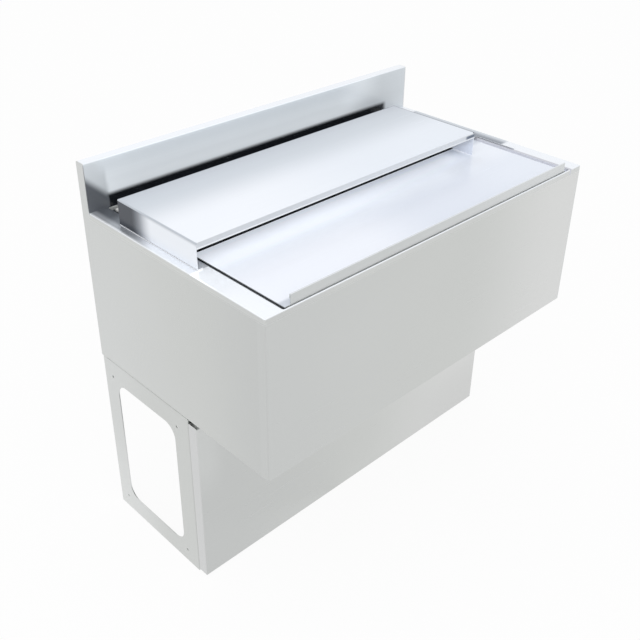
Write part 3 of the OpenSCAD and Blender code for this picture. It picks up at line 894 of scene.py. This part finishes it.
def skirt_painted_shading() -> tuple[Patch, ...]:
    """Painted shading of the skirt: darker to the left and low down, lighter to the right.

    Returns:
        The patches.
    """
    left_bend = Edge(Along.X, DECK.left + 0.0015, DECK.left + 0.0005)
    low_left = (Edge(Along.X, -0.20, -0.45), Edge(Along.Z, 0.18, SIDE_FRAME.foot))
    low_right = (Edge(Along.X, 0.05, 0.42), Edge(Along.Z, 0.24, 0.05))
    return (
        Patch("left half", tint(200, 202, 201), (Edge(Along.X, 0.05, -0.45),)),
        Patch("right half", tint(218, 219, 218), (Edge(Along.X, 0.0, 0.42),)),
        Patch("right foot", tint(209, 210, 209), low_right),
        Patch("left foot", tint(197, 199, 198), low_left),
        Patch("left end", tint(207, 209, 208), (Edge(Along.X, -0.38, -0.44), Edge(Along.Z, 0.20, 0.32))),
        Patch("left bend", tint(209, 210, 210), (left_bend,)),
    )


@dataclass
class Base:
    """The open base under the body, with its fixings and the drain."""

    sheet: Finish = SandedSteel("frame_steel", STEEL_GREY, 0.30, Grain.TALL, patches=frame_painted_shading())
    skirt: Finish = SandedSteel("skirt_steel", STEEL_GREY, 0.30, patches=skirt_painted_shading())
    plated: Finish = SandedSteel("plated_steel", (0.56, 0.56, 0.58), 0.35, Grain.TURNED)
    washer: Finish = Moulded("washer_rubber", (0.03, 0.03, 0.03), 0.7)
    brass: Finish = TurnedBrass("drain_brass", (0.60, 0.45, 0.18), 0.28)
    strainer: Finish = SandedSteel("strainer_steel", BRIGHT_SHEET, 0.25, Grain.TURNED)

    def dress(self) -> None:
        """Gives each piece of the base its finish."""
        dress(self.sheet, "left_side_frame", "right_side_frame", "rear_tie_rail")
        dress(self.skirt, "front_skirt")
        dress(self.plated, "frame_bolts", "skirt_screws", "tie_bolts", "pan_stiffeners")
        dress(self.washer, "frame_shims", "drain_gasket")
        dress(self.brass, "drain_body", "drain_locknut", "drain_tailpiece")
        dress(self.strainer, "drain_strainer")


def dress(finish: Finish, *names: str) -> None:
    """Puts one new material on CAD pieces.

    Args:
        finish: the finish to make.
        names: the nodes that get it.
    """
    made = finish.material()
    for name in names:
        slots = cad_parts[name].material_slots
        for slot in slots:
            slot.link = "OBJECT"
            slot.material = made
        LOG.info("%s: %s", name, finish.name)


@dataclass
class Studio:
    """Floor, surroundings and one soft lamp."""

    floor_size: float = 30.0
    floor_white: float = 0.93
    floor_tone: Colour = (0.9, 0.9, 0.9)
    sky: float = 0.85
    lamp_place: Triple = (-1.6, -1.2, 2.6)
    lamp_aim: Triple = (0.0, 0.0, 0.5)
    lamp_size: float = 1.6
    lamp_watts: float = 18.0

    def build(self) -> None:
        """Makes the floor, the surroundings and the lamp."""
        self._floor()
        self._world()
        self._lamp()

    def _floor(self) -> None:
        """Pale floor that the camera and the steel see as white."""
        half = self.floor_size / 2
        mesh = bpy.data.meshes.new("floor")
        corners = [(-half, -half, 0.0), (half, -half, 0.0), (half, half, 0.0), (-half, half, 0.0)]
        mesh.from_pydata(corners, [], [(0, 1, 2, 3)])
        floor = bpy.data.objects.new("floor", mesh)
        bpy.context.collection.objects.link(floor)
        made = bpy.data.materials.new("floor")
        made.use_nodes = True
        graph = Graph(made.node_tree)
        seen = self._seen(graph) * self.floor_white
        matt = graph.node("ShaderNodeBsdfDiffuse", values={"Color": self.floor_tone})
        white = graph.node("ShaderNodeEmission", values={"Color": WHITE, "Strength": 1.0})
        both = graph.node("ShaderNodeMixShader", values={0: seen, 1: matt.outputs[0], 2: white.outputs[0]})
        graph.node("ShaderNodeOutputMaterial", values={"Surface": both.outputs[0]})
        mesh.materials.append(made)

    @staticmethod
    def _seen(graph: Graph) -> Wire:
        """Light Path mask of what the camera, the steel and clear pieces see.

        Args:
            graph: the graph to add it to.

        Returns:
            A wire that is 1 for those rays.
        """
        path = graph.node("ShaderNodeLightPath").outputs
        camera = Wire(graph, path["Is Camera Ray"])
        glossy = Wire(graph, path["Is Glossy Ray"])
        clear = Wire(graph, path["Is Transmission Ray"])
        return (camera + glossy + clear).above(0.0, 1.0)

    def _world(self) -> None:
        """White surroundings, a little dimmer for the light that they cast."""
        world = bpy.data.worlds.new("studio")
        bpy.context.scene.world = world
        world.use_nodes = True
        graph = Graph(world.node_tree)
        strength = self._seen(graph) * (1.0 - self.sky) + self.sky
        back = graph.node("ShaderNodeBackground", values={"Color": WHITE, "Strength": strength})
        graph.node("ShaderNodeOutputWorld", values={"Surface": back.outputs[0]})

    def _lamp(self) -> None:
        """Square lamp up on the left that points at the bin."""
        light = bpy.data.lights.new("key", "AREA")
        light.size = self.lamp_size
        light.energy = self.lamp_watts
        lamp = bpy.data.objects.new("key", light)
        lamp.location = self.lamp_place
        ray = Vector(self.lamp_aim) - Vector(self.lamp_place)
        lamp.rotation_euler = ray.to_track_quat("-Z", "Y").to_euler()
        bpy.context.collection.objects.link(lamp)


@dataclass
class Viewpoint:
    """Camera that stands where the photograph's did, with its angles in degrees."""

    place: Triple = (-1.2187, -1.1708, 1.5245)
    azimuth: float = 44.336
    drop: float = 30.692
    roll: float = 0.708
    lens: float = 50.15
    sensor: float = 36.0
    shift: tuple[float, float] = (0.0015, -0.0537)

    def build(self) -> None:
        """Makes the camera and sets it as the scene's."""
        turn, down, tilt = (math.radians(a) for a in (self.azimuth, self.drop, self.roll))
        ahead = Vector((math.sin(turn) * math.cos(down), math.cos(turn) * math.cos(down), -math.sin(down)))
        right = Vector((math.cos(turn), -math.sin(turn), 0.0))
        up = right.cross(ahead)
        across = math.cos(tilt) * right + math.sin(tilt) * up
        upright = math.cos(tilt) * up - math.sin(tilt) * right
        pose = Matrix((across, upright, -ahead)).transposed().to_4x4()
        pose.translation = Vector(self.place)
        data = bpy.data.cameras.new("camera")
        data.lens = self.lens
        data.sensor_width = self.sensor
        data.shift_x, data.shift_y = self.shift
        camera = bpy.data.objects.new("camera", data)
        camera.matrix_world = pose
        bpy.context.collection.objects.link(camera)
        bpy.context.scene.camera = camera


def main() -> None:
    """Dresses the bin, then sets up the studio and the camera."""
    logging.basicConfig(level=logging.INFO, format="%(message)s")
    bpy.context.scene.view_settings.view_transform = "Standard"
    for part in (CladBody(), Lid(), Cover(), Base()):
        part.dress()
    Studio().build()
    Viewpoint().build()


if __name__ == "__main__":
    main()
